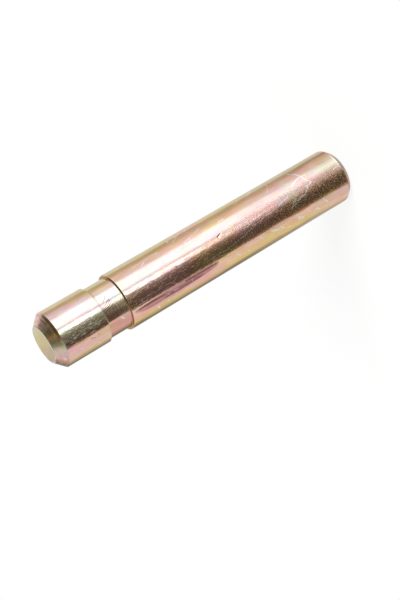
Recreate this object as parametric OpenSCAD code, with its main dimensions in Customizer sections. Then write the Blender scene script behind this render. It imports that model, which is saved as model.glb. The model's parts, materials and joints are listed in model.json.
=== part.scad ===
// Pin that locks a digging tooth to its adapter on an excavator bucket.
// It is one turned steel bar: a long shank, a groove for the spring ring, and a tapered nose.
// The pin stands on its plain end at z = 0, with its axis on +Z and the nose at the top.

/* [Shank] */
// Length of the whole pin, end to end
pin_length = 134.5; // [110:0.5:200]
// Diameter of the shank
shank_d = 22; // [18:0.1:30]
// Chamfer on the plain end, measured along the axis
end_chamfer_length = 1.7; // [0.8:0.1:4]
// Chamfer on the plain end, measured across the axis
end_chamfer_depth = 1.2; // [0.6:0.1:3]

/* [Nose] */
// Length of the nose, from its flat tip down to the ring groove
nose_length = 21; // [12:0.5:40]
// Gap all round by which the nose is slimmer than the shank
nose_relief = 0.25; // [0.1:0.05:0.8]
// 45-degree chamfer that leads the nose into its hole
nose_chamfer = 3.6; // [1:0.1:6]

/* [Ring groove] */
// Width of the groove that holds the spring ring
groove_width = 9.5; // [5:0.1:20]
// Depth of the groove below the nose
groove_depth = 0.85; // [0.6:0.05:1.6]

/* [Edges] */
// Radius that the tool's tip leaves in the corners of the groove
groove_fillet = 0.3; // [0.1:0.05:0.5]
// Radius of the edges at the groove
groove_edge = 0.15; // [0.05:0.05:0.25]
// Radius of the edges at both ends of the pin
end_edge = 0.3; // [0.1:0.05:0.5]

/* [Hidden] */
shank_r = shank_d / 2;
nose_r = shank_r - nose_relief;
groove_r = nose_r - groove_depth;
groove_top = pin_length - nose_length;
shoulder_z = groove_top - groove_width;
arc_steps = 6;   // straight steps in each rounded corner
facets = 160;    // steps around the pin in the preview
steel_colour = "#d0ac74";

// Half of the pin's lengthwise section: each corner is [radius from the axis, height, rounding].
section_corners = [
    [0, 0, 0],
    [shank_r - end_chamfer_depth, 0, end_edge],
    [shank_r, end_chamfer_length, end_edge],
    [shank_r, shoulder_z, groove_edge],
    [groove_r, shoulder_z, groove_fillet],
    [groove_r, groove_top, groove_fillet],
    [nose_r, groove_top, groove_edge],
    [nose_r, pin_length - nose_chamfer, end_edge],
    [nose_r - nose_chamfer, pin_length, end_edge],
    [0, pin_length, 0]
];

function direction(from, to) = (to - from) / norm(to - from);
function point(corner) = [corner[0], corner[1]];

// Points of the arc that rounds the corner at b, on the way from a to c. The arc meets both sides smoothly.
function rounded(a, b, c, radius) =
    let (
        back = direction(b, a),
        ahead = direction(b, c),
        half_angle = acos(back * ahead) / 2,
        reach = radius / tan(half_angle),
        centre = b + direction([0, 0], back + ahead) * radius / sin(half_angle),
        start = b + back * reach,
        end = b + ahead * reach,
        start_angle = atan2(start[1] - centre[1], start[0] - centre[0]),
        end_angle = atan2(end[1] - centre[1], end[0] - centre[0]),
        turn = end_angle - start_angle,
        sweep = turn > 180 ? turn - 360 : turn < -180 ? turn + 360 : turn
    )
    concat(
        [start],
        [for (i = [1 : arc_steps - 1])
            let (angle = start_angle + sweep * i / arc_steps)
            centre + radius * [cos(angle), sin(angle)]],
        [end]
    );

// The section's outline, with each corner that has a rounding replaced by its arc.
function outline(corners) = [
    for (i = [0 : len(corners) - 1])
        let (here = point(corners[i]), rounding = corners[i][2])
        each rounding > 0
            ? rounded(point(corners[i - 1]), here, point(corners[i + 1]), rounding)
            : [here]
];

module tooth_pin() {
    color(steel_colour)
        rotate_extrude($fn = facets)
            polygon(outline(section_corners));
}

tooth_pin();
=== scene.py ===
import json
import math

import bpy
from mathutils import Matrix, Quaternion, Vector


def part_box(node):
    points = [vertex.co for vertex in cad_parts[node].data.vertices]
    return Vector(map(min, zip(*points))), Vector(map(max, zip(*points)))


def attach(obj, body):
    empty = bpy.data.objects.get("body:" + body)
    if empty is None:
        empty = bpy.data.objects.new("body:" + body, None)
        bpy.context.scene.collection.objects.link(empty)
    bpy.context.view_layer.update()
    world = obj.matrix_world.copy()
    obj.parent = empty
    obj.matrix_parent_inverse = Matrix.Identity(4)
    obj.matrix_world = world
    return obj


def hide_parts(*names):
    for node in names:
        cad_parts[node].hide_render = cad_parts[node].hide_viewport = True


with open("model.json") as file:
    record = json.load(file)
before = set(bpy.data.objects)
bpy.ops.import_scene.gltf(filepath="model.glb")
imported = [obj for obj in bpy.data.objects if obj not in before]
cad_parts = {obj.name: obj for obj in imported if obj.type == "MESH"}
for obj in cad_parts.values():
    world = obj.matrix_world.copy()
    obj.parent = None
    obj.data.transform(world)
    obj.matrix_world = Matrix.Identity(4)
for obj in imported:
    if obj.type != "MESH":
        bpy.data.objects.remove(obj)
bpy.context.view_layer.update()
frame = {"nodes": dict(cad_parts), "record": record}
print("frame loaded:", sorted(frame["nodes"]))

mm = 0.001  # one millimetre, in the scene's metres


def hexToLinear(text):  # "#d8b892" as sRGB, to the linear colour that a shader takes
    parts = [int(text[i:i + 2], 16) / 255 for i in (1, 3, 5)]
    linear = [c / 12.92 if c <= 0.04045 else ((c + 0.055) / 1.055) ** 2.4 for c in parts]
    return (*linear, 1.0)


def addNode(tree, kind, sockets=None, **settings):
    # one node: its settings, then for each input a fixed value or the node or socket that feeds it
    node = tree.nodes.new(kind)
    for name, value in settings.items():
        setattr(node, name, value)
    for name, value in (sockets or {}).items():
        if isinstance(name, int):
            socket = node.inputs[name]
        else:
            socket = next(s for s in node.inputs if s.name == name and s.enabled)
        if isinstance(value, bpy.types.Node):
            value = next(s for s in value.outputs if s.enabled)
        if isinstance(value, bpy.types.NodeSocket):
            tree.links.new(value, socket)
        else:
            socket.default_value = value
    return node


def setStops(ramp, stops, first, last):
    # stops are (place, colour) between first and last; the ramp's own two stops take the outermost ones
    for index, (place, colour) in enumerate(stops):
        spot = (place - first) / (last - first)
        if index == 0:
            stop = ramp.elements[0]
        elif index == len(stops) - 1:
            stop = ramp.elements[-1]
        else:
            stop = ramp.elements.new(spot)
        stop.position = spot
        stop.color = colour


# sizes of the pin: those that the frame has come from its box and from the mounts in its record
mounts = {m["name"]: m for m in frame["record"]["mounts"]}
lowCorner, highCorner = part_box("tooth_pin")
pin = {
    "length": highCorner.z,
    "shankRadius": mounts["shank"]["dims"]["r_mm"] * mm,
    "noseRadius": mounts["nose_land"]["dims"]["r_mm"] * mm,
    "grooveRadius": mounts["ring_groove"]["dims"]["r_mm"] * mm,
    "grooveMiddle": mounts["ring_groove"]["pos_m"][2],
    "grooveWidth": mounts["ring_groove"]["dims"]["length_mm"] * mm,
    "noseChamfer": 3.6 * mm,       # 45 degrees
    "endChamferLength": 1.7 * mm,
    "endChamferDepth": 1.2 * mm,
    "endEdge": 0.3 * mm,           # rounding of the outer edges
    "grooveEdge": 0.15 * mm,
    "grooveFillet": 0.3 * mm,
    "columns": 240,                # vertices round the pin, 0.29 mm apart
    "arcSteps": 6,                 # rows in each rounding
    "shankStep": 0.6 * mm,         # spacing of the rows along the shank
    "turnedStep": 0.35 * mm,       # on the nose and the floor of the groove
    "wallStep": 0.2 * mm,          # on the walls of the groove
    "endChamferStep": 0.3 * mm,
    "coneStep": 0.25 * mm,         # on the chamfer of the nose
    "endFaceStep": 1.2 * mm,
    "tipStep": 0.5 * mm,
}
pin["grooveTop"] = pin["grooveMiddle"] + pin["grooveWidth"] / 2
pin["shoulder"] = pin["grooveMiddle"] - pin["grooveWidth"] / 2
pin["coneStart"] = pin["length"] - pin["noseChamfer"]
pin["tipRadius"] = pin["noseRadius"] - pin["noseChamfer"]

drawn, turned, faced = 0, 1, 2  # the pin's material slots, by how the surface was made


def sectionCorners():
    # half of the lengthwise section, from the plain end up to the tip: the radius, height and rounding of
    # each corner, then the spacing of the rows and the material from there to the next corner
    p = pin
    return [
        (0.0, 0.0, 0.0, p["endFaceStep"], faced),
        (p["shankRadius"] - p["endChamferDepth"], 0.0, p["endEdge"], p["endChamferStep"], turned),
        (p["shankRadius"], p["endChamferLength"], p["endEdge"], p["shankStep"], drawn),
        (p["shankRadius"], p["shoulder"], p["grooveEdge"], p["wallStep"], turned),
        (p["grooveRadius"], p["shoulder"], p["grooveFillet"], p["turnedStep"], turned),
        (p["grooveRadius"], p["grooveTop"], p["grooveFillet"], p["wallStep"], turned),
        (p["noseRadius"], p["grooveTop"], p["grooveEdge"], p["turnedStep"], turned),
        (p["noseRadius"], p["coneStart"], p["endEdge"], p["coneStep"], turned),
        (p["tipRadius"], p["length"], p["endEdge"], p["tipStep"], faced),
        (0.0, p["length"], 0.0, p["tipStep"], faced),
    ]


def sectionRows():
    # each row of the mesh: its radius and height, the material of the band above it, and 1 where it lies on
    # a rounded outer edge
    corners = sectionCorners()
    rows = []
    for i, (radius, height, rounding, step, material) in enumerate(corners):
        here = Vector((radius, height))
        if rounding:
            back = (Vector(corners[i - 1][:2]) - here).normalized()
            ahead = (Vector(corners[i + 1][:2]) - here).normalized()
            halfAngle = back.angle(ahead) / 2
            reach = rounding / math.tan(halfAngle)
            centre = here + (back + ahead).normalized() * rounding / math.sin(halfAngle)
            start = here + back * reach - centre
            end = here + ahead * reach - centre
            outer = 1.0 if back.cross(ahead) > 0 else 0.0
            for k in range(pin["arcSteps"] + 1):
                spoke = start.normalized().slerp(end.normalized(), k / pin["arcSteps"]) * rounding
                rows.append((*(centre + spoke), material, outer))
            here = centre + end
        else:
            rows.append((radius, height, material, 0.0))
        if i + 1 < len(corners):
            nextRadius, nextHeight, nextRounding = corners[i + 1][:3]
            there = Vector((nextRadius, nextHeight))
            if nextRounding:
                nextAhead = (Vector(corners[i + 2][:2]) - there).normalized()
                nextBack = (here - there).normalized()
                there += nextBack * nextRounding / math.tan(nextBack.angle(nextAhead) / 2)
            count = max(1, round((there - here).length / step))
            for k in range(1, count):
                rows.append((*here.lerp(there, k / count), material, 0.0))
    return rows


def buildPin():
    # the rows turned about the axis: a point at the middle of each end, and rings of columns between them
    rows = sectionRows()
    materials = [row[2] for row in rows]
    columns = pin["columns"]
    points = [(0.0, 0.0, 0.0)]
    edges = [0.0]
    for radius, height, _, edge in rows[1:-1]:
        for c in range(columns):
            angle = 2 * math.pi * c / columns
            points.append((radius * math.sin(angle), -radius * math.cos(angle), height))
            edges.append(edge)
    points.append((0.0, 0.0, pin["length"]))
    edges.append(0.0)

    tip = len(points) - 1
    lastRing = tip - columns
    faces = []
    slots = []
    for c in range(columns):
        d = (c + 1) % columns
        faces.append((0, 1 + d, 1 + c))
        slots.append(materials[0])
    for r in range(1, len(rows) - 2):
        low = 1 + (r - 1) * columns
        high = low + columns
        for c in range(columns):
            d = (c + 1) % columns
            faces.append((low + c, low + d, high + d, high + c))
            slots.append(materials[r])
    for c in range(columns):
        d = (c + 1) % columns
        faces.append((tip, lastRing + c, lastRing + d))
        slots.append(materials[-2])

    mesh = bpy.data.meshes.new("turnedPin")
    mesh.from_pydata(points, [], faces)
    mesh.polygons.foreach_set("material_index", slots)
    mesh.shade_smooth()
    outerEdges = mesh.attributes.new("edge", "FLOAT", "POINT")
    outerEdges.data.foreach_set("value", edges)
    mesh.update()
    body = bpy.data.objects.new("turnedPin", mesh)
    bpy.context.scene.collection.objects.link(body)
    return body


turnedPin = buildPin()
print("pin built:", len(turnedPin.data.vertices), "vertices")


# the finish: zinc plating with a yellow passivation film, whose colour goes with how thick it is
zinc = {
    "hues": {                      # the colours that the film takes
        "straw": "#ccbd8c", "tan": "#d8b685", "peach": "#dcb898", "apricot": "#e4bfa6", "pearl": "#bcbab6",
        "milk": "#c8beb6", "rose": "#dfb6a8", "pink": "#dcaeac", "mauve": "#d8b8b6", "blush": "#cbbdb8",
        "sand": "#c8ab9c", "copper": "#c4987a", "bronze": "#bc8e70", "gold": "#d2b674", "olive": "#a89042",
        "amber": "#fccc5c", "moss": "#8b8937", "khaki": "#c6b088", "cream": "#ecd2a2", "clay": "#c78e77",
        "sage": "#c2bd94", "stone": "#c8c0a8", "drab": "#c6b694", "umber": "#bea47a", "leaf": "#aeb282",
        # the reddish brown and the darkest brown on the next line are painted shade for the far edges
        "shell": "#f4c4bc", "edgeShadeBrown": "#a8775c", "petal": "#dac6bc", "edgeShadeDark": "#5c4632", "honey": "#dcbf90",
        "corn": "#d2be6e", "wheat": "#debf9c", "buff": "#e4c9a8", "ash": "#bfaea7",
    },
    # bands of colour round the pin, from one degree to the next: 0 is at -Y, and X is at -90. They fix the
    # film's iridescent colours as the front sees them, so they are partly its own colour and partly painted
    # sheen; the greyer pearl and milk lie under the softbox's highlight to hold it down
    "shankFilm": [
        (-57, "tan"), (-48, "peach"), (-40, "apricot"), (-29, "pearl"), (-20, "pearl"), (-12, "blush"),
        (-4, "sand"), (6, "copper"), (24, "bronze"), (28, "copper"), (31, "apricot"), (41, "rose"),
        (46, "honey"), (53, "honey"), (60, "corn"), (65, "gold"), (70, "olive"),
    ],
    "highFilm": [
        (-57, "tan"), (-48, "wheat"), (-40, "buff"), (-29, "pearl"), (-20, "pearl"), (-12, "blush"),
        (-4, "ash"), (7, "copper"), (24, "bronze"), (28, "copper"), (31, "apricot"), (42, "rose"),
        (51, "peach"), (60, "gold"), (65, "gold"), (70, "olive"),
    ],
    "footFilm": [
        (-57, "copper"), (-48, "apricot"), (-36, "apricot"), (-28, "milk"), (-12, "milk"), (-4, "sand"),
        (6, "copper"), (13, "umber"), (19, "bronze"), (27, "bronze"), (31, "mauve"), (42, "mauve"),
        (51, "rose"), (62, "apricot"), (72, "tan"),
    ],
    # the rest of the way round is the same all along the shank
    "farBefore": [
        (-180, "straw"), (-150, "rose"), (-125, "sage"), (-100, "tan"), (-78, "sage"), (-65, "straw"),
    ],
    "farAfter": [(80, "olive"), (92, "sage"), (112, "tan"), (140, "rose"), (165, "sage"), (180, "straw")],
    "noseFilm": [
        (-180, "straw"), (-150, "rose"), (-120, "sage"), (-95, "tan"), (-74, "sage"), (-66, "straw"),
        (-60, "tan"), (-54, "tan"), (-50, "rose"), (-43, "mauve"), (-37, "petal"), (-28, "pearl"),
        (-6, "pearl"), (1, "stone"), (5, "drab"), (16, "drab"), (20, "bronze"), (25, "bronze"),
        (29, "pink"), (49, "pink"), (56, "peach"), (62, "tan"), (67, "gold"), (73, "olive"), (80, "olive"),
        (95, "sage"), (125, "rose"), (155, "gold"), (180, "straw"),
    ],
    # on the plain end's chamfer the brown from 56 to 80 degrees is painted shade along the far edge
    "endChamferFilm": [
        (-180, "straw"), (-120, "tan"), (-85, "cream"), (-45, "cream"), (-26, "peach"), (-14, "sand"),
        (25, "sand"), (42, "tan"), (56, "edgeShadeBrown"), (80, "edgeShadeBrown"), (120, "tan"), (180, "straw"),
    ],
    # on the cone the browns from 70 to 95 degrees are painted shade along the far edge
    "coneFilm": [
        (-180, "straw"), (-120, "rose"), (-75, "shell"), (-47, "shell"), (-42, "cream"), (-36, "khaki"),
        (-28, "khaki"), (-21, "moss"), (-9, "moss"), (0, "amber"), (9, "umber"), (19, "leaf"),
        (29, "stone"), (38, "mauve"), (50, "pink"), (60, "clay"), (70, "edgeShadeBrown"), (79, "edgeShadeDark"), (95, "edgeShadeDark"),
        (115, "tan"), (150, "sage"), (180, "straw"),
    ],
    "footTop": (11, 25),           # mm above the plain end between which the foot's bands become the shank's
    "highStart": (58, 72),         # and the shank's become those of its upper half
    # tint along the shank, by mm above the plain end, as the bar hung in the bath
    "tint": [
        (0, "#fcf8f0"), (14, "#fcf8f4"), (26, "#fffaf8"), (60, "#fffaf8"), (76, "#fff6f6"),
        (98, "#fff8f6"), (135, "#fff4fa"),
    ],
    # the two end faces, by mm towards X, where patches shift it
    "faceFilm": [
        (-3.5, "#ae8a6a"), (1.3, "#b99d71"), (4.5, "#c6b06c"), (7.7, "#c9b774"), (12.5, "#d2c89f"),
    ],
    "wander": 7.0,                 # degrees by which the bands wander along the pin
    "wanderSize": (9.0, 30.0),     # mm across and along, as in the next five
    "patch": (7.0, 22.0),          # patches that lean to rose or olive
    "mottle": (1.6, 5.0),
    "streak": (0.3, 1.7),          # drawing lines, 0.1 mm wide on the real bar, drawn coarser to show
    "grain": (0.4, 0.4),           # specks of the plating, 0.2 mm on the real pin, drawn coarser to show
    "turnedRings": (5.0, 0.24),    # specks in rings on the cone and in the groove
    "feed": 0.45,                  # mm a turn, 0.15 on the real pin, drawn coarser to show
    "grainTop": 76.0,              # the coarse grain starts below this many mm
    "grainFull": 46.0,
    "front": (-9.0, -3.0, 29.0, 32.0),  # degrees round the pin over which the specks come and go again
    "besideFront": 0.2,            # their share beside it
    "grainSpread": 14.0,           # degrees by which those of the grain come earlier
    "speckShare": (0.38, 0.0),     # how far specks are painted pale, as glint, among the drawing lines and in the grain
    "turnedSpeckShare": (1.0, 0.6),  # and on the nose and among the rings
    "roseShade": "#e0a8a8",
    "oliveShade": "#c4b468",
    "shadeShare": 0.42,            # of rose or olive in the patches
    "mottleShare": 0.3,
    "paintedGrooveShade": "#ecd8e2",      # painted shade in the groove, away from the front
    "coneLine": "#584a30",         # dark turning lines round the cone
    "coneRim": "#7a4e34",          # brown band along the cone's outer rim
    "paintedSeamShade": "#8c8070",             # painted shade in the groove, next to the nose
    "saltsAndCornerShade": "#a87430",          # brown salts of the bath dried in the shoulder's corner, with painted shade there too
    "paintedReflection": "#b48684",            # mauve, a painted reflection of a dark object beside the pin, and its darker lines
    "paintedReflectionLine": "#754a48",
    "ringMark": "#50382c",
    "paintedSpeckGlint": "#d2cab0",        # painted glint: pale, where specks scatter the light
    "rim": "#e6dcc2",              # pale on the rims: partly film rubbed thin, partly painted edge highlight
    "bareZinc": "#dfe3d8",         # where the film is scratched through
    "roughness": 0.08,
    "grainRoughness": 0.12,        # on the coarser, lower half of the shank
    "speckRoughness": 0.6,
    "zincRoughness": 0.36,
    "faceRoughness": (0.16, 0.24),
    "streakRelief": 14.0,          # thousandths of a mm, as in the next three
    "grainRelief": (14.0, 38.0),   # beside the specks and where they are plainest
    "ringRelief": (6.0, 12.0),     # on the nose and in the groove
    "faceRelief": 6.0,
}

# scratches through the film: width in mm, then the way as (mm above the plain end, degrees round the pin)
shankScratches = [
    (0.40, [(21.4, -57), (20.4, -49), (19.2, -40), (18.7, -33), (18.3, -24), (17.6, -17), (16.8, -12),
            (17.4, -9), (18.7, -7), (19.3, -2), (20.5, 2), (22.5, 5), (24.6, 8)]),
    (0.45, [(24.4, -23), (22.2, -28), (19.2, -31), (16.6, -31)]),
    (0.30, [(19.7, -8.5), (18.2, -8)]),
    (0.55, [(29.4, 15), (28.2, 12), (27.2, 8), (25.7, 3)]),
    (0.45, [(28.0, 9), (26.9, 12.5), (26.2, 10)]),
    (0.40, [(25.4, 9), (23.8, 6), (22.8, 3)]),
    (0.50, [(36.8, -78), (38.0, -68), (40.2, -61)]),
    (0.20, [(31.0, -60), (32.6, -46), (33.8, -38)]),
    (0.20, [(70.0, 20), (60.0, 20), (54.0, 16), (50.0, 11), (46.0, 7), (41.5, 2), (37.0, 0), (31.5, -4),
            (29.2, -8), (27.8, -13)]),
    (0.22, [(50.0, 2), (45.5, -4), (41.5, -6)]),
    (0.60, [(40.8, 33), (39.2, 38), (37.2, 41)]),
    (0.50, [(28.3, 33), (27.8, 40), (27.0, 47)]),
    (0.40, [(14.6, 31), (13.8, 38), (13.0, 46)]),
    (0.45, [(18.8, 42), (17.0, 49)]),
    (0.30, [(46.8, -56), (44.2, -62)]),
    (0.45, [(2.3, -42), (2.2, -30), (2.3, -16), (2.4, -6)]),
    (0.35, [(2.8, -10), (5.6, -10)]),
    (0.30, [(95.0, -44), (93.4, -46), (91.6, -46)]),
    (0.32, [(90.6, -46), (88.2, -48), (86.2, -48), (84.2, -46)]),
    (0.28, [(92.4, -36), (90.4, -41)]),
    (0.34, [(76.6, -49), (74.6, -56), (73.4, -60), (71.8, -67)]),
    (0.70, [(77.6, -58), (77.2, -59)]),
    (0.26, [(71.0, -37), (68.6, -42), (67.0, -44), (65.2, -47)]),
    (0.26, [(73.8, -35), (70.8, -36)]),
    (0.40, [(69.6, -60), (68.4, -68)]),
    (0.40, [(66.8, -70), (65.4, -78)]),
    (0.36, [(62.6, -68), (61.6, -76)]),
    (0.30, [(58.6, -3), (57.0, -8)]),
    # painted highlight: a pale scratch along the nick's bright edge, beside it
    (0.30, [(62.4, -7.5), (60.8, -10)]),
    (0.24, [(60.6, -13.4), (59.4, -13)]),
    (0.45, [(58.0, -35), (55.4, -37)]),
    (0.75, [(93.3, 54), (93.0, 57)]),
    (0.30, [(89.2, 51), (88.8, 54)]),
    (0.22, [(103.5, 20), (93.0, 19.5), (84.0, 19)]),
    (0.20, [(103.5, 25), (97.0, 25.5)]),
    (0.30, [(46.2, 34), (44.8, 39)]),
    (0.45, [(36.4, 36), (34.8, 43)]),
    (0.60, [(27.4, 40), (25.2, 47)]),
    (0.26, [(57.6, 41), (55.8, 47)]),
    (0.26, [(52.6, 44), (51.2, 51)]),
    (0.32, [(33.0, 48), (31.6, 52)]),
    (0.26, [(22.8, 36), (21.8, 41)]),
]

turnedScratches = [  # on the nose, its cone and the groove
    (0.60, [(107.9, 33), (107.2, 37)]),
    (0.40, [(132.2, 52), (131.9, 56)]),
    (0.26, [(119.0, 53), (118.4, 58)]),
    (0.22, [(126.2, 44), (125.2, 47)]),
]

ringMarks = [  # fine dark marks that the retaining ring left in the groove and on the nose
    (0.22, [(113.0, -4), (111.2, -7), (109.2, -14)]),
    (0.22, [(113.0, -1), (110.8, -4), (108.9, -11)]),
    (0.22, [(113.0, 2), (110.6, -1), (108.6, -7)]),
    (0.18, [(112.6, 6), (110.4, 3), (108.4, -3)]),
    (0.14, [(111.8, -13), (110.4, -18), (109.6, -23)]),
    (0.16, [(121.6, 36), (119.8, 38)]),
    (0.14, [(118.6, 34), (117.8, 37)]),
]

nick = {"start": (61.8, -9.0), "end": (60.2, -12.0), "width": 0.55, "depth": 110.0}  # depth in 0.001 mm

# a painted reflection of a dark object beside the pin: a long mauve lens on the shank, with darker lines
# along it
paintedReflection = {
    "length": (65.5, 103.0),       # mm above the plain end
    "spine": (33.0, 35.0),         # degrees round the pin, at its lower and its upper end
    "lowSide": 12.0,               # degrees from the spine to each side of the lens, at its middle
    "highSide": -4.5,
    "bluntness": 0.37,             # the nearer to 0, the blunter its ends
    "lineSize": (0.45, 20.0),      # mm across and along
    "fraySize": (1.2, 9.0),
    "lines": [                     # the darkest ones, written as the scratches are
        (0.7, [(80.5, 33.2), (67.0, 33.6)]),
        (0.6, [(77.0, 35.2), (70.0, 35.6)]),
        (0.7, [(99.0, 32.4), (88.5, 32.0)]),
        (0.8, [(101.0, 34.0), (90.0, 34.6)]),
        (0.7, [(98.0, 36.0), (86.5, 38.0)]),
        (0.5, [(90.0, 41.6), (74.0, 41.0)]),
        (0.4, [(84.0, 37.4), (73.0, 38.4)]),
    ],
}


def buildScratchGroup():
    # how deep a point lies in one straight scratch or in those before it: 1 in the middle and 0 outside
    tree = bpy.data.node_groups.new("scratchLine", "ShaderNodeTree")
    for name in ("Place", "Start", "End"):
        tree.interface.new_socket(name=name, in_out="INPUT", socket_type="NodeSocketVector")
    for name in ("Width", "Before"):
        tree.interface.new_socket(name=name, in_out="INPUT", socket_type="NodeSocketFloat")
    tree.interface.new_socket(name="Depth", in_out="OUTPUT", socket_type="NodeSocketFloat")
    given = tree.nodes.new("NodeGroupInput").outputs
    # a millionth of the depth before is added, so that the renderer works through the scratches one after
    # another: it can't hold all of them at once
    here = addNode(tree, "ShaderNodeVectorMath", {0: given["Before"], 1: (1e-6, 1e-6, 0), 2: given["Place"]},
                   operation="MULTIPLY_ADD")
    away = addNode(tree, "ShaderNodeVectorMath", {0: here, 1: given["Start"]}, operation="SUBTRACT")
    line = addNode(tree, "ShaderNodeVectorMath", {0: given["End"], 1: given["Start"]}, operation="SUBTRACT")
    reach = addNode(tree, "ShaderNodeVectorMath", {0: away, 1: line}, operation="DOT_PRODUCT")
    whole = addNode(tree, "ShaderNodeVectorMath", {0: line, 1: line}, operation="DOT_PRODUCT")
    share = addNode(tree, "ShaderNodeMath", {0: reach, 1: whole}, operation="DIVIDE", use_clamp=True)
    foot = addNode(tree, "ShaderNodeVectorMath", {0: line, "Scale": share}, operation="SCALE")
    gap = addNode(tree, "ShaderNodeVectorMath", {0: away, 1: foot}, operation="DISTANCE")
    depth = addNode(tree, "ShaderNodeMapRange", {"Value": gap, "From Min": given["Width"], "From Max": 0.0},
                    interpolation_type="SMOOTHSTEP")
    deepest = addNode(tree, "ShaderNodeMath", {0: depth, 1: given["Before"]}, operation="MAXIMUM")
    tree.links.new(deepest.outputs[0], tree.nodes.new("NodeGroupOutput").inputs[0])
    return tree


scratchLine = buildScratchGroup()
perDegree = math.radians(1.0) * pin["shankRadius"] / mm  # mm round the shank


def unrolled(height, angle):  # a place on the shank as mm along it and mm round it
    return (height, angle * perDegree, 0.0)


def unrolledPlace(tree, height, angle):  # and the same for the point that is shaded
    arc = addNode(tree, "ShaderNodeMath", {0: angle, 1: perDegree}, operation="MULTIPLY")
    return addNode(tree, "ShaderNodeCombineXYZ", {0: height, 1: arc})


def chainedDepth(tree, flat, marks):
    # how deep the point lies in the deepest of the marks
    total = None
    for width, way in marks:
        for start, end in zip(way, way[1:]):
            sockets = {"Place": flat, "Start": unrolled(*start), "End": unrolled(*end), "Width": width}
            if total is not None:
                sockets["Before"] = total
            total = addNode(tree, "ShaderNodeGroup", sockets, node_tree=scratchLine)
    return total


def angleRound(tree, split):
    # degrees round the pin: 0 at -Y, positive towards -X
    left = addNode(tree, "ShaderNodeMath", {0: split.outputs["X"], 1: -1.0}, operation="MULTIPLY")
    front = addNode(tree, "ShaderNodeMath", {0: split.outputs["Y"], 1: -1.0}, operation="MULTIPLY")
    turn = addNode(tree, "ShaderNodeMath", {0: left, 1: front}, operation="ARCTAN2")
    return addNode(tree, "ShaderNodeMath", {0: turn, 1: 180 / math.pi}, operation="MULTIPLY")


def surfacePlaces(tree):
    # the point in mm, its height, its radius and its angle round the pin in degrees
    place = addNode(tree, "ShaderNodeTexCoord").outputs["Object"]
    place = addNode(tree, "ShaderNodeVectorMath", {0: place, "Scale": 1 / mm}, operation="SCALE")
    split = addNode(tree, "ShaderNodeSeparateXYZ", {0: place})
    across = addNode(tree, "ShaderNodeVectorMath", {0: place, 1: (1, 1, 0)}, operation="MULTIPLY")
    radius = addNode(tree, "ShaderNodeVectorMath", {0: across}, operation="LENGTH")
    return place, split.outputs["Z"], radius.outputs["Value"], angleRound(tree, split)


def uneven(tree, place, size, detail=2.0, seed=0.0):
    # uneven pattern from 0 to 1 whose marks are so many mm across and along the pin
    across, along = size
    stretched = addNode(tree, "ShaderNodeMapping", {"Vector": place, "Location": (seed, seed, seed),
                                                    "Scale": (1 / across, 1 / across, 1 / along)})
    return addNode(tree, "ShaderNodeTexNoise", {"Vector": stretched, "Scale": 1.0, "Detail": detail})


def turningMarks(tree, way):
    # uneven rings that the tool leaves along its way in mm
    turns = addNode(tree, "ShaderNodeMath", {0: way, 1: 1 / zinc["feed"]}, operation="MULTIPLY")
    return addNode(tree, "ShaderNodeTexNoise", {"W": turns, "Scale": 1.0, "Detail": 2.0},
                   noise_dimensions="1D")


def nearness(tree, value, middle, none, whole, most=1.0):
    # most where the value is nearer to the middle than whole, fading to 0 at none
    away = addNode(tree, "ShaderNodeMath", {0: value, 1: middle}, operation="SUBTRACT")
    away = addNode(tree, "ShaderNodeMath", {0: away}, operation="ABSOLUTE")
    return addNode(tree, "ShaderNodeMapRange", {"Value": away, "From Min": none, "From Max": whole,
                                                "To Max": most})


def layOver(tree, colour, *layers):
    # other colours laid over the film one after another: each is a share from 0 to 1 and a name in zinc
    for share, name in layers:
        colour = addNode(tree, "ShaderNodeMix", {"Factor": share, "A": colour, "B": hexToLinear(zinc[name])},
                         data_type="RGBA")
    return colour


def filmColour(tree, place, height, angle, zones):
    # the bands round the pin wander along it, drift to rose and olive and are finely mottled; each zone of
    # bands after the first takes over between its two heights
    wander = uneven(tree, place, zinc["wanderSize"], seed=3.0)
    wandered = addNode(tree, "ShaderNodeMapRange", {"Value": wander, "From Min": 0.3, "From Max": 0.7,
                                                    "To Min": -zinc["wander"], "To Max": zinc["wander"]})
    shifted = addNode(tree, "ShaderNodeMath", {0: angle, 1: wandered}, operation="ADD")
    spot = addNode(tree, "ShaderNodeMapRange", {"Value": shifted, "From Min": -180.0, "From Max": 180.0})
    colour = None
    for (start, whole), stops in zones:
        bands = addNode(tree, "ShaderNodeValToRGB", {0: spot})
        colours = [(turn, hexToLinear(zinc["hues"][hue])) for turn, hue in stops]
        setStops(bands.color_ramp, colours, -180, 180)
        if colour is None:
            colour = bands
        else:
            past = addNode(tree, "ShaderNodeMapRange", {"Value": height, "From Min": start,
                                                        "From Max": whole})
            colour = addNode(tree, "ShaderNodeMix", {"Factor": past, "A": colour, "B": bands},
                             data_type="RGBA")
    patch = uneven(tree, place, zinc["patch"], detail=3.0, seed=11.0)
    rosy = addNode(tree, "ShaderNodeMapRange", {"Value": patch, "From Min": 0.51, "From Max": 0.64,
                                                "To Max": zinc["shadeShare"]})
    green = addNode(tree, "ShaderNodeMapRange", {"Value": patch, "From Min": 0.49, "From Max": 0.36,
                                                 "To Max": zinc["shadeShare"]})
    colour = layOver(tree, colour, (rosy, "roseShade"), (green, "oliveShade"))
    mottle = uneven(tree, place, zinc["mottle"], detail=3.0).outputs[1]
    return addNode(tree, "ShaderNodeMix", {"Factor": zinc["mottleShare"], "A": colour, "B": mottle},
                   data_type="RGBA", blend_type="OVERLAY")


def shankBands(name):  # all the way round
    return zinc["farBefore"] + zinc[name] + zinc["farAfter"]


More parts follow.
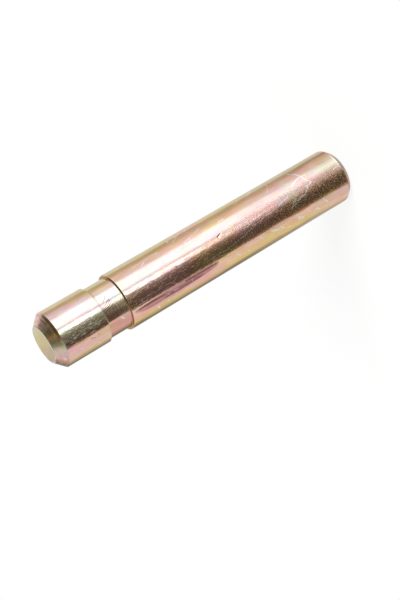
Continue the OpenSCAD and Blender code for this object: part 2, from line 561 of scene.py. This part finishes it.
def speckles(tree, pattern, angle, spread=0.0):
    # how far the peaks of a pattern scatter the light, most on the front; there they come earlier by the
    # spread, in degrees. They make the surface rougher, and the pale colour the finishes lay on them is
    # painted glint
    none, whole, stillWhole, noneAgain = zinc["front"]
    speck = addNode(tree, "ShaderNodeMapRange", {"Value": pattern, "From Min": 0.48, "From Max": 0.64,
                                                 "To Max": 0.9})
    early = addNode(tree, "ShaderNodeMath", {0: angle, 1: spread}, operation="ADD")
    start = addNode(tree, "ShaderNodeMapRange", {"Value": early, "From Min": none, "From Max": whole,
                                                 "To Min": zinc["besideFront"]})
    end = addNode(tree, "ShaderNodeMapRange", {"Value": angle, "From Min": noneAgain, "From Max": stillWhole,
                                               "To Min": zinc["besideFront"]})
    speck = addNode(tree, "ShaderNodeMath", {0: speck, 1: start}, operation="MULTIPLY")
    return addNode(tree, "ShaderNodeMath", {0: speck, 1: end}, operation="MULTIPLY")


def scratchDepth(tree, place, flat):
    # the scratches, a little shaky and broken
    shake = uneven(tree, place, (2.4, 2.4), seed=5.0).outputs[1]
    shake = addNode(tree, "ShaderNodeVectorMath", {0: shake, 1: (0.5, 0.5, 0.5)}, operation="SUBTRACT")
    shake = addNode(tree, "ShaderNodeVectorMath", {0: shake, 1: (1.2, 1.2, 0.0)}, operation="MULTIPLY")
    flat = addNode(tree, "ShaderNodeVectorMath", {0: flat, 1: shake}, operation="ADD")
    depth = chainedDepth(tree, flat, shankScratches)
    gaps = uneven(tree, place, (0.5, 0.5), detail=3.0, seed=7.0)
    broken = addNode(tree, "ShaderNodeMapRange", {"Value": gaps, "From Min": 0.30, "From Max": 0.52})
    depth = addNode(tree, "ShaderNodeMath", {0: depth, 1: broken}, operation="MULTIPLY")
    # and small pale spots strewn over the film
    spots = uneven(tree, place, (0.7, 0.9), detail=1.0, seed=17.0)
    spots = addNode(tree, "ShaderNodeMapRange", {"Value": spots, "From Min": 0.70, "From Max": 0.78,
                                                 "To Max": 0.5})
    return addNode(tree, "ShaderNodeMath", {0: depth, 1: spots}, operation="MAXIMUM")


def rubbedRimsAndHighlight(tree, place, size, least, most, also):
    # how far the outer edges, and where also says, are painted pale in patches of so many mm: partly film
    # rubbed off, partly painted edge highlight
    edge = addNode(tree, "ShaderNodeAttribute", attribute_name="edge").outputs["Fac"]
    rim = addNode(tree, "ShaderNodeMath", {0: edge, 1: also}, operation="MAXIMUM")
    rub = uneven(tree, place, (size, size), seed=6.0)
    rubbed = addNode(tree, "ShaderNodeMapRange", {"Value": rub, "From Min": least, "From Max": most})
    return addNode(tree, "ShaderNodeMath", {0: rim, 1: rubbed}, operation="MULTIPLY")


def addPaintedReflection(tree, colour, place, height, angle, flat):
    # the lens, frayed on its low side, then its darker lines and its rosy ones
    bottom, top = paintedReflection["length"]
    spineLow, spineHigh = paintedReflection["spine"]
    along = addNode(tree, "ShaderNodeMapRange", {"Value": height, "From Min": bottom, "From Max": top,
                                                 "To Min": -1.0, "To Max": 1.0})
    swell = addNode(tree, "ShaderNodeMath", {0: along, 1: along}, operation="MULTIPLY")
    swell = addNode(tree, "ShaderNodeMath", {0: 1.0, 1: swell}, operation="SUBTRACT")
    swell = addNode(tree, "ShaderNodeMath", {0: swell, 1: paintedReflection["bluntness"]}, operation="POWER")
    spine = addNode(tree, "ShaderNodeMapRange", {"Value": along, "From Min": -1.0, "To Min": spineLow,
                                                 "To Max": spineHigh})
    lowSide = addNode(tree, "ShaderNodeMath", {0: swell, 1: paintedReflection["lowSide"], 2: spine},
                      operation="MULTIPLY_ADD")
    highSide = addNode(tree, "ShaderNodeMath", {0: swell, 1: paintedReflection["highSide"], 2: spine},
                       operation="MULTIPLY_ADD")
    fray = uneven(tree, place, paintedReflection["fraySize"], detail=3.0, seed=12.0)
    frayed = addNode(tree, "ShaderNodeMath", {0: fray, 1: 10.0, 2: lowSide}, operation="MULTIPLY_ADD")
    past = addNode(tree, "ShaderNodeMath", {0: frayed, 1: angle}, operation="SUBTRACT")
    inLow = addNode(tree, "ShaderNodeMapRange", {"Value": past, "From Min": 3.0, "From Max": 8.0})
    inside = addNode(tree, "ShaderNodeMath", {0: angle, 1: highSide}, operation="SUBTRACT")
    inHigh = addNode(tree, "ShaderNodeMapRange", {"Value": inside, "From Min": -0.5, "From Max": 1.0})
    lens = addNode(tree, "ShaderNodeMath", {0: inLow, 1: inHigh}, operation="MULTIPLY")

    lines = uneven(tree, place, paintedReflection["lineSize"], detail=1.0, seed=2.0)
    dark = addNode(tree, "ShaderNodeMapRange", {"Value": lines, "From Min": 0.50, "From Max": 0.62,
                                                "To Max": 0.5})
    darkest = chainedDepth(tree, flat, paintedReflection["lines"])
    dark = addNode(tree, "ShaderNodeMath", {0: darkest, 1: dark}, operation="MAXIMUM")
    dark = addNode(tree, "ShaderNodeMath", {0: lens, 1: dark}, operation="MULTIPLY")
    faint = addNode(tree, "ShaderNodeMapRange", {"Value": lines, "From Min": 0.44, "From Max": 0.36,
                                                 "To Max": 0.42})
    faint = addNode(tree, "ShaderNodeMath", {0: lens, 1: faint}, operation="MULTIPLY")
    return layOver(tree, colour, (lens, "paintedReflection"), (dark, "paintedReflectionLine"), (faint, "roseShade"))


def finishMetal(tree, colour, roughness, relief):
    # colour, roughness and relief (in thousandths of a mm) onto a metal with the default IOR
    shader = tree.nodes["Principled BSDF"]
    shader.inputs["Metallic"].default_value = 1.0
    bump = addNode(tree, "ShaderNodeBump", {"Height": relief, "Distance": 0.001 * mm})
    for source, socket in ((colour, "Base Color"), (roughness, "Roughness"), (bump, "Normal")):
        tree.links.new(next(s for s in source.outputs if s.enabled), shader.inputs[socket])


def drawnSteelYellowZinc(tree):
    # cold-drawn bar under the plating: bright, in bands of straw, rose and olive, with fine lines along it
    # whose specks are painted pale as glint, coarser grain on its lower half, and scratches down to the zinc
    place, height, _, angle = surfacePlaces(tree)
    flat = unrolledPlace(tree, height, angle)
    colour = filmColour(tree, place, height, angle, [
        ((0, 0), shankBands("footFilm")),
        (zinc["footTop"], shankBands("shankFilm")),
        (zinc["highStart"], shankBands("highFilm")),
    ])
    tallest = zinc["tint"][-1][0]
    level = addNode(tree, "ShaderNodeMath", {0: height, 1: tallest}, operation="DIVIDE")
    tint = addNode(tree, "ShaderNodeValToRGB", {0: level})
    setStops(tint.color_ramp, [(z, hexToLinear(text)) for z, text in zinc["tint"]], 0, tallest)
    colour = addNode(tree, "ShaderNodeMix", {"Factor": 1.0, "A": colour, "B": tint}, data_type="RGBA",
                     blend_type="MULTIPLY")
    colour = addPaintedReflection(tree, colour, place, height, angle, flat)

    # drawing lines, with round grain growing towards the plain end; both plainest on the front
    coarse = addNode(tree, "ShaderNodeMapRange", {"Value": height, "From Min": zinc["grainTop"],
                                                  "From Max": zinc["grainFull"]},
                     interpolation_type="SMOOTHSTEP")
    streak = uneven(tree, place, zinc["streak"], detail=3.0, seed=1.0)
    grain = uneven(tree, place, zinc["grain"], seed=9.0)
    pattern = addNode(tree, "ShaderNodeMix", {"Factor": coarse, "A": streak, "B": grain}, data_type="FLOAT")
    spread = addNode(tree, "ShaderNodeMath", {0: coarse, 1: zinc["grainSpread"]}, operation="MULTIPLY")
    fewer = addNode(tree, "ShaderNodeMapRange", {"Value": coarse, "To Min": -0.035, "To Max": 0.005})
    scattering = addNode(tree, "ShaderNodeMath", {0: pattern, 1: fewer}, operation="ADD")
    speck = speckles(tree, scattering, angle, spread)
    beyond = addNode(tree, "ShaderNodeMapRange", {"Value": angle, "From Min": 3.0, "From Max": 14.0})
    dimmed = addNode(tree, "ShaderNodeMath", {0: coarse, 1: beyond}, operation="MULTIPLY")
    dimmed = addNode(tree, "ShaderNodeMapRange", {"Value": dimmed, "To Min": 1.0, "To Max": 0.72})
    speck = addNode(tree, "ShaderNodeMath", {0: speck, 1: dimmed}, operation="MULTIPLY")

    # relief of lines and grain, with one nick
    calm, rugged = zinc["grainRelief"]
    grainDepth = addNode(tree, "ShaderNodeMapRange", {"Value": angle, "From Min": -22.0, "From Max": -6.0,
                                                      "To Min": calm, "To Max": rugged})
    depth = addNode(tree, "ShaderNodeMix", {"Factor": coarse, "A": zinc["streakRelief"], "B": grainDepth},
                    data_type="FLOAT")
    relief = addNode(tree, "ShaderNodeMath", {0: pattern, 1: depth}, operation="MULTIPLY")
    dent = addNode(tree, "ShaderNodeGroup", {"Place": flat, "Start": unrolled(*nick["start"]),
                                             "End": unrolled(*nick["end"]), "Width": nick["width"]},
                   node_tree=scratchLine)
    relief = addNode(tree, "ShaderNodeMath", {0: dent, 1: -nick["depth"], 2: relief},
                     operation="MULTIPLY_ADD")

    # worn places: scratches, the rims, and the edge at the shoulder, whose paleness is partly rubbed film
    # and partly painted edge highlight
    shoulder = pin["shoulder"] / mm
    atShoulder = addNode(tree, "ShaderNodeMapRange", {"Value": height, "From Min": shoulder - 0.5,
                                                      "From Max": shoulder - 0.3, "To Max": 0.6})
    rim = rubbedRimsAndHighlight(tree, place, 1.2, 0.3, 0.55, atShoulder)
    scratched = scratchDepth(tree, place, flat)
    onLines, onGrain = zinc["speckShare"]
    pale = addNode(tree, "ShaderNodeMapRange", {"Value": coarse, "To Min": onLines, "To Max": onGrain})
    pale = addNode(tree, "ShaderNodeMath", {0: pale, 1: speck}, operation="MULTIPLY")
    colour = layOver(tree, colour, (pale, "paintedSpeckGlint"), (rim, "rim"), (scratched, "bareZinc"))
    worn = addNode(tree, "ShaderNodeMath", {0: scratched, 1: rim}, operation="MAXIMUM")
    smooth = addNode(tree, "ShaderNodeMapRange", {"Value": coarse, "To Min": zinc["roughness"],
                                                  "To Max": zinc["grainRoughness"]})
    specked = addNode(tree, "ShaderNodeMix", {"Factor": speck, "A": smooth, "B": zinc["speckRoughness"]},
                      data_type="FLOAT")
    rough = addNode(tree, "ShaderNodeMix", {"Factor": worn, "A": specked, "B": zinc["zincRoughness"]},
                    data_type="FLOAT")
    finishMetal(tree, colour, rough, relief)


def noseCylinder(tree, place, height):
    # the place moved out or in to the nose's radius, so that patterns go on over the groove and the chamfers
    spoke = addNode(tree, "ShaderNodeVectorMath", {0: place, 1: (1, 1, 0)}, operation="MULTIPLY")
    spoke = addNode(tree, "ShaderNodeVectorMath", {0: spoke}, operation="NORMALIZE")
    spoke = addNode(tree, "ShaderNodeVectorMath", {0: spoke, "Scale": pin["noseRadius"] / mm},
                    operation="SCALE")
    lift = addNode(tree, "ShaderNodeCombineXYZ", {2: height})
    return addNode(tree, "ShaderNodeVectorMath", {0: spoke, 1: lift}, operation="ADD")


def turnedSteelYellowZinc(tree):
    # lathe-turned steel under the plating: fine rings from the tool in the groove and on the chamfers, lines
    # along the nose from the ring that slides over it, and pale rims, partly rubbed and partly painted edge
    # highlight
    place, height, radius, angle = surfacePlaces(tree)
    flat = unrolledPlace(tree, height, angle)
    shoulder = pin["shoulder"] / mm
    grooveTop = pin["grooveTop"] / mm
    coneStart = pin["coneStart"] / mm
    noseRadius = pin["noseRadius"] / mm
    colour = filmColour(tree, place, height, angle, [
        ((0, 0), zinc["endChamferFilm"]),
        ((1.6, 1.8), shankBands("highFilm")),
        ((grooveTop - 0.2, grooveTop + 0.2), zinc["noseFilm"]),
        ((coneStart - 0.2, coneStart + 0.2), zinc["coneFilm"]),
    ])
    inGroove = addNode(tree, "ShaderNodeMath", {0: height, 1: grooveTop}, operation="LESS_THAN")
    onCone = addNode(tree, "ShaderNodeMath", {0: height, 1: coneStart}, operation="GREATER_THAN")
    ringed = addNode(tree, "ShaderNodeMath", {0: inGroove, 1: onCone}, operation="MAXIMUM")

    # specks, painted pale as glint: lines on the nose, and rings on the cone and in the groove, more in its
    # lower half; both are palest in the middle of the front
    onCylinder = noseCylinder(tree, place, height)
    streak = uneven(tree, onCylinder, zinc["streak"], detail=3.0, seed=1.0)
    around = uneven(tree, onCylinder, zinc["turnedRings"], detail=3.0, seed=8.0)
    around = addNode(tree, "ShaderNodeMath", {0: around, 1: 0.45, 2: 0.27}, operation="MULTIPLY_ADD")
    lowGroove = addNode(tree, "ShaderNodeMapRange", {"Value": height, "From Min": shoulder + 5.5,
                                                     "From Max": shoulder + 3.5, "To Min": -0.01,
                                                     "To Max": 0.03})
    around = addNode(tree, "ShaderNodeMath", {0: around, 1: lowGroove}, operation="ADD")
    around = addNode(tree, "ShaderNodeMath", {0: around, 1: nearness(tree, angle, 11.5, 5.0, 1.5, 0.05)},
                     operation="ADD")
    lines = addNode(tree, "ShaderNodeMath", {0: streak, 1: nearness(tree, angle, 14.5, 8.0, 3.0, 0.085)},
                    operation="ADD")
    lines = addNode(tree, "ShaderNodeMath", {0: lines, 1: 0.04}, operation="SUBTRACT")
    pattern = addNode(tree, "ShaderNodeMix", {"Factor": ringed, "A": lines, "B": around}, data_type="FLOAT")
    where = addNode(tree, "ShaderNodeMix", {"Factor": onCone, "A": angle, "B": 10.0}, data_type="FLOAT")
    speck = speckles(tree, pattern, where)
    onNose, onRings = zinc["turnedSpeckShare"]
    pale = addNode(tree, "ShaderNodeMapRange", {"Value": ringed, "To Min": onNose, "To Max": onRings})
    pale = addNode(tree, "ShaderNodeMath", {0: pale, 1: speck}, operation="MULTIPLY")

    # relief of the lines, and of the rings, which are deeper in the groove
    relief = addNode(tree, "ShaderNodeMath", {0: streak, 1: zinc["streakRelief"]}, operation="MULTIPLY")
    fine, deep = zinc["ringRelief"]
    ringDepth = addNode(tree, "ShaderNodeMapRange", {"Value": inGroove, "To Min": fine, "To Max": deep})
    relief = addNode(tree, "ShaderNodeMath", {0: turningMarks(tree, height), 1: ringDepth, 2: relief},
                     operation="MULTIPLY_ADD")

    # painted shade in the groove, past the front
    side = addNode(tree, "ShaderNodeMapRange", {"Value": angle, "From Min": 28.0, "From Max": 34.0})
    shaded = addNode(tree, "ShaderNodeMath", {0: side, 1: inGroove}, operation="MULTIPLY")
    colour = addNode(tree, "ShaderNodeMix", {"Factor": shaded, "A": colour,
                                             "B": hexToLinear(zinc["paintedGrooveShade"])},
                     data_type="RGBA", blend_type="MULTIPLY")

    # dark turning lines on the cone, strongest before the front
    dark = addNode(tree, "ShaderNodeMapRange", {"Value": around, "From Min": 0.49, "From Max": 0.44,
                                                "To Max": 0.5})
    dark = addNode(tree, "ShaderNodeMath", {0: dark, 1: onCone}, operation="MULTIPLY")
    before = addNode(tree, "ShaderNodeMapRange", {"Value": angle, "From Min": 6.0, "From Max": -12.0,
                                                  "To Min": 0.3})
    dark = addNode(tree, "ShaderNodeMath", {0: dark, 1: before}, operation="MULTIPLY")

    # painted shade in the groove, next to the nose, and a brown band along the cone's outer rim
    paintedSeamShade = addNode(tree, "ShaderNodeMath", {0: nearness(tree, height, grooveTop - 0.6, 0.32, 0.12),
                                            1: nearness(tree, angle, -22.0, 30.0, 22.0, 0.4)},
                   operation="MULTIPLY")
    lip = addNode(tree, "ShaderNodeMath", {0: nearness(tree, height, coneStart + 0.45, 0.4, 0.15),
                                           1: nearness(tree, angle, -28.0, 36.0, 28.0, 0.6)},
                  operation="MULTIPLY")

    # rims painted pale only round 22 degrees, partly rubbed film and partly painted edge highlight, and
    # brown salts of the bath with painted shade in the shoulder's corner
    rim = rubbedRimsAndHighlight(tree, place, 1.5, 0.35, 0.55, nearness(tree, height, coneStart, 0.25, 0.1))
    rim = addNode(tree, "ShaderNodeMath", {0: rim, 1: nearness(tree, angle, 22.0, 16.0, 8.0, 0.7)},
                  operation="MULTIPLY")
    inside = addNode(tree, "ShaderNodeMapRange", {"Value": radius, "From Min": noseRadius,
                                                  "From Max": noseRadius - 0.2})
    corner = addNode(tree, "ShaderNodeMath", {0: nearness(tree, height, shoulder, 0.22, 0.05), 1: inside},
                     operation="MULTIPLY")

    marked = chainedDepth(tree, flat, ringMarks)
    bare = chainedDepth(tree, flat, turnedScratches)
    bare = addNode(tree, "ShaderNodeMath", {0: bare, 1: 0.7}, operation="MULTIPLY")
    colour = layOver(tree, colour, (dark, "coneLine"), (pale, "paintedSpeckGlint"), (marked, "ringMark"),
                     (bare, "bareZinc"), (paintedSeamShade, "paintedSeamShade"), (lip, "coneRim"), (rim, "rim"), (corner, "saltsAndCornerShade"))
    scattered = addNode(tree, "ShaderNodeMath", {0: rim, 1: speck}, operation="MAXIMUM")
    rough = addNode(tree, "ShaderNodeMix", {"Factor": scattered, "A": zinc["roughness"],
                                            "B": zinc["speckRoughness"]}, data_type="FLOAT")
    finishMetal(tree, colour, rough, relief)


def facedSteelYellowZinc(tree):
    # faced steel under the plating: fine circles about the middle draw the reflections out, so the flat ends
    # look satin, with a straw film that goes paler towards X and a pale rim, partly rubbed and partly
    # painted edge highlight
    place, _, radius, _ = surfacePlaces(tree)
    patch = uneven(tree, place, (3.0, 3.0), seed=4.0)
    split = addNode(tree, "ShaderNodeSeparateXYZ", {0: place})
    side = addNode(tree, "ShaderNodeMath", {0: patch, 1: 9.0, 2: split.outputs["X"]},
                   operation="MULTIPLY_ADD")
    faceStart = zinc["faceFilm"][0][0]
    faceEnd = zinc["faceFilm"][-1][0]
    spot = addNode(tree, "ShaderNodeMapRange", {"Value": side, "From Min": faceStart, "From Max": faceEnd})
    film = addNode(tree, "ShaderNodeValToRGB", {0: spot})
    setStops(film.color_ramp, [(x, hexToLinear(text)) for x, text in zinc["faceFilm"]], faceStart, faceEnd)
    rim = rubbedRimsAndHighlight(tree, place, 2.0, 0.35, 0.5, nearness(tree, radius, pin["tipRadius"] / mm, 0.6, 0.3))
    colour = layOver(tree, film, (rim, "bareZinc"))
    rings = turningMarks(tree, radius)
    relief = addNode(tree, "ShaderNodeMath", {0: rings, 1: zinc["faceRelief"]}, operation="MULTIPLY")
    smoothest, roughest = zinc["faceRoughness"]
    satin = addNode(tree, "ShaderNodeMapRange", {"Value": rings, "From Min": 0.3, "From Max": 0.7,
                                                 "To Min": smoothest, "To Max": roughest})
    rough = addNode(tree, "ShaderNodeMix", {"Factor": rim, "A": satin, "B": zinc["speckRoughness"]},
                    data_type="FLOAT")
    finishMetal(tree, colour, rough, relief)


finishes = {drawn: drawnSteelYellowZinc, turned: turnedSteelYellowZinc, faced: facedSteelYellowZinc}
for slot in sorted(finishes):
    material = bpy.data.materials.new(finishes[slot].__name__)
    material.use_nodes = True
    finishes[slot](material.node_tree)
    turnedPin.data.materials.append(material)

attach(turnedPin, "root")
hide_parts("tooth_pin")
print("finish done")


# the studio: a white floor, a soft sun, and the lamps and dark corners that the metal sees around it
studio = {
    "floorSize": 12.0,
    "floorColour": "#f4f4f2",
    "floorOwnWhite": 0.86,         # share of plain white that the camera sees over the floor's shadows
    "sunStrength": 2.4,
    "sunSoftness": 25.0,           # degrees
    "sunFrom": (0.5, -0.5, 1.0),
    # strength of the light that the metal sees, by degrees round the pin
    "around": [
        (-180, 0.88), (-150, 0.92), (-140, 1.0), (-124.5, 1.05),                      # white wall
        (-122.5, 0.68), (-106, 0.71), (-92, 0.95), (-81, 1.06), (-73, 1.18), (-68, 1.4),
        (-61, 2.35), (-32, 2.35),                                                     # softbox
        (-29, 1.9), (-26, 1.5), (-23, 1.25), (-18, 1.18), (-12, 1.05), (-4, 0.8), (4, 0.48),
        (12, 0.30), (21, 0.205), (30, 0.165), (45, 0.16), (57.4, 0.18),               # black card
        (59.0, 1.0), (112, 1.0),                                                      # white card
        (124, 0.82), (134, 0.58), (146, 0.39), (156, 0.33), (180, 0.88),
    ],
    # and the same in the lowest reflections, where the softbox is fainter and the black card darker
    "aroundFoot": [
        (-180, 0.85), (-140, 0.90), (-124.5, 0.92),
        (-122.5, 0.62), (-106, 0.62), (-92, 0.80), (-81, 0.95), (-70, 1.10), (-62, 1.4),
        (-54, 1.62), (-46, 1.72), (-38, 1.66),
        (-30, 1.35), (-21, 0.90), (-12, 0.64), (-4, 0.45), (4, 0.27),
        (12, 0.13), (21, 0.07), (30, 0.06), (38, 0.08), (46, 0.13), (57.4, 0.20),
        (59.0, 1.0), (112, 1.0),
        (124, 0.94), (134, 0.80), (146, 0.68), (156, 0.68), (180, 0.85),
    ],
    "peak": 3.0,                   # the strength that white stands for in both ramps
    "foot": (-25.5, -30.5),        # degrees from the horizon between which the one turns into the other
    "striplight": (-18.5, -3.5),   # from and to, in degrees round the pin
    "striplightEdge": 0.8,
    "striplightStrength": 1.9,     # on top of what is behind it
    "striplightFades": (-28.0, -23.0),  # degrees from the horizon
    "roomSide": (0.59, -0.81, 0.0),     # above the horizon the dark room lies this way, a white table behind
    "roomEdge": (-0.30, 0.10),          # parts of this way between which the table gives way to the room
    "tableStrength": 0.9,
    "roomStrength": 0.27,
    "horizon": (1.5, 9.0),         # degrees between which the lamps end
    "under": (-36.0, -44.0),       # and between which the floor right under the pin begins
    "underStrength": 0.65,
}


def buildFloor():
    # matt white board: it shows a faint shadow and no gloss, and the metal doesn't mirror it
    half = studio["floorSize"] / 2
    corners = [(-half, -half, 0), (half, -half, 0), (half, half, 0), (-half, half, 0)]
    mesh = bpy.data.meshes.new("floor")
    mesh.from_pydata(corners, [], [(0, 1, 2, 3)])
    floor = bpy.data.objects.new("floor", mesh)
    bpy.context.scene.collection.objects.link(floor)
    material = bpy.data.materials.new("mattWhiteFloor")
    material.use_nodes = True
    tree = material.node_tree
    tree.nodes.clear()
    paint = addNode(tree, "ShaderNodeBsdfDiffuse", {"Color": hexToLinear(studio["floorColour"])})
    glow = addNode(tree, "ShaderNodeEmission", {"Color": (1, 1, 1, 1), "Strength": 1.0})
    ray = addNode(tree, "ShaderNodeLightPath")
    seen = addNode(tree, "ShaderNodeMath", {0: ray.outputs["Is Camera Ray"], 1: studio["floorOwnWhite"]},
                   operation="MULTIPLY")
    mix = addNode(tree, "ShaderNodeMixShader", {0: seen, 1: paint, 2: glow})
    addNode(tree, "ShaderNodeOutputMaterial", {"Surface": mix})
    mesh.materials.append(material)
    floor.visible_glossy = False


def buildWorld():
    world = bpy.data.worlds.new("studio")
    bpy.context.scene.world = world
    world.use_nodes = True
    tree = world.node_tree
    tree.nodes.clear()
    way = addNode(tree, "ShaderNodeTexCoord").outputs["Generated"]
    split = addNode(tree, "ShaderNodeSeparateXYZ", {0: way})
    azimuth = angleRound(tree, split)
    rise = addNode(tree, "ShaderNodeMath", {0: split.outputs["Z"]}, operation="ARCSINE")
    rise = addNode(tree, "ShaderNodeMath", {0: rise, 1: 180 / math.pi}, operation="MULTIPLY")

    spot = addNode(tree, "ShaderNodeMapRange", {"Value": azimuth, "From Min": -180.0, "From Max": 180.0})
    rings = []
    for stops in (studio["around"], studio["aroundFoot"]):
        ramp = addNode(tree, "ShaderNodeValToRGB", {0: spot})
        greys = [(turn, (*[strength / studio["peak"]] * 3, 1.0)) for turn, strength in stops]
        setStops(ramp.color_ramp, greys, -180, 180)
        rings.append(addNode(tree, "ShaderNodeMath", {0: ramp, 1: studio["peak"]}, operation="MULTIPLY"))
    start, end = studio["foot"]
    foot = addNode(tree, "ShaderNodeMapRange", {"Value": rise, "From Min": start, "From Max": end})
    lamps = addNode(tree, "ShaderNodeMix", {"Factor": foot, "A": rings[0], "B": rings[1]}, data_type="FLOAT")

    # a narrow striplight in front of the softbox's edge
    start, end = studio["striplight"]
    edge = studio["striplightEdge"]
    pastStart = addNode(tree, "ShaderNodeMapRange", {"Value": azimuth, "From Min": start - edge,
                                                     "From Max": start + edge,
                                                     "To Max": studio["striplightStrength"]})
    beforeEnd = addNode(tree, "ShaderNodeMapRange", {"Value": azimuth, "From Min": end + edge,
                                                     "From Max": end - edge})
    strip = addNode(tree, "ShaderNodeMath", {0: pastStart, 1: beforeEnd}, operation="MULTIPLY")
    start, end = studio["striplightFades"]
    upper = addNode(tree, "ShaderNodeMapRange", {"Value": rise, "From Min": start, "From Max": end},
                    interpolation_type="SMOOTHSTEP")
    lamps = addNode(tree, "ShaderNodeMath", {0: strip, 1: upper, 2: lamps}, operation="MULTIPLY_ADD")

    # the table and the dark room above the horizon, which the tip mirrors
    facing = addNode(tree, "ShaderNodeVectorMath", {0: way, 1: studio["roomSide"]}, operation="DOT_PRODUCT")
    start, end = studio["roomEdge"]
    far = addNode(tree, "ShaderNodeMapRange", {"Value": facing, "From Min": start, "From Max": end,
                                               "To Min": studio["tableStrength"],
                                               "To Max": studio["roomStrength"]},
                  interpolation_type="SMOOTHSTEP")
    start, end = studio["horizon"]
    upward = addNode(tree, "ShaderNodeMapRange", {"Value": rise, "From Min": start, "From Max": end},
                     interpolation_type="SMOOTHSTEP")
    room = addNode(tree, "ShaderNodeMix", {"Factor": upward, "A": lamps, "B": far}, data_type="FLOAT")
    start, end = studio["under"]
    downward = addNode(tree, "ShaderNodeMapRange", {"Value": rise, "From Min": start, "From Max": end},
                       interpolation_type="SMOOTHSTEP")
    room = addNode(tree, "ShaderNodeMix", {"Factor": downward, "A": room, "B": studio["underStrength"]},
                   data_type="FLOAT")

    # the camera sees plain white in its place
    ray = addNode(tree, "ShaderNodeLightPath")
    strength = addNode(tree, "ShaderNodeMix", {"Factor": ray.outputs["Is Camera Ray"], "A": room, "B": 1.0},
                       data_type="FLOAT")
    back = addNode(tree, "ShaderNodeBackground", {"Color": (1, 1, 1, 1), "Strength": strength})
    addNode(tree, "ShaderNodeOutputWorld", {"Surface": back})


def addSun():  # lights the floor; the metal doesn't mirror it
    light = bpy.data.lights.new("softSun", "SUN")
    light.energy = studio["sunStrength"]
    light.angle = math.radians(studio["sunSoftness"])
    sun = bpy.data.objects.new("softSun", light)
    sun.rotation_mode = "QUATERNION"
    sun.rotation_quaternion = Vector(studio["sunFrom"]).to_track_quat("Z", "Y")
    sun.visible_glossy = False
    bpy.context.scene.collection.objects.link(sun)


camera = {
    "location": (0.0, -0.372747, 0.235490),
    "aim": (-0.014657, 0.0, 0.075636),
    "roll": -121.360,              # degrees, counter-clockwise as the camera sees
    "focalLength": 66.754,         # mm
    "sensor": 36.0,                # mm on the picture's long side
    "clipStart": 0.01,
}


def buildCamera():
    data = bpy.data.cameras.new("camera")
    data.sensor_fit = "AUTO"
    data.sensor_width = camera["sensor"]
    data.lens = camera["focalLength"]
    data.clip_start = camera["clipStart"]
    view = bpy.data.objects.new("camera", data)
    view.location = camera["location"]
    way = Vector(camera["aim"]) - Vector(camera["location"])
    roll = Quaternion((0, 0, 1), math.radians(camera["roll"]))
    view.rotation_mode = "QUATERNION"
    view.rotation_quaternion = way.to_track_quat("-Z", "Y") @ roll
    bpy.context.scene.collection.objects.link(view)
    bpy.context.scene.camera = view


buildFloor()
buildWorld()
addSun()
buildCamera()
bpy.context.scene.view_settings.view_transform = "Standard"
print("studio done")
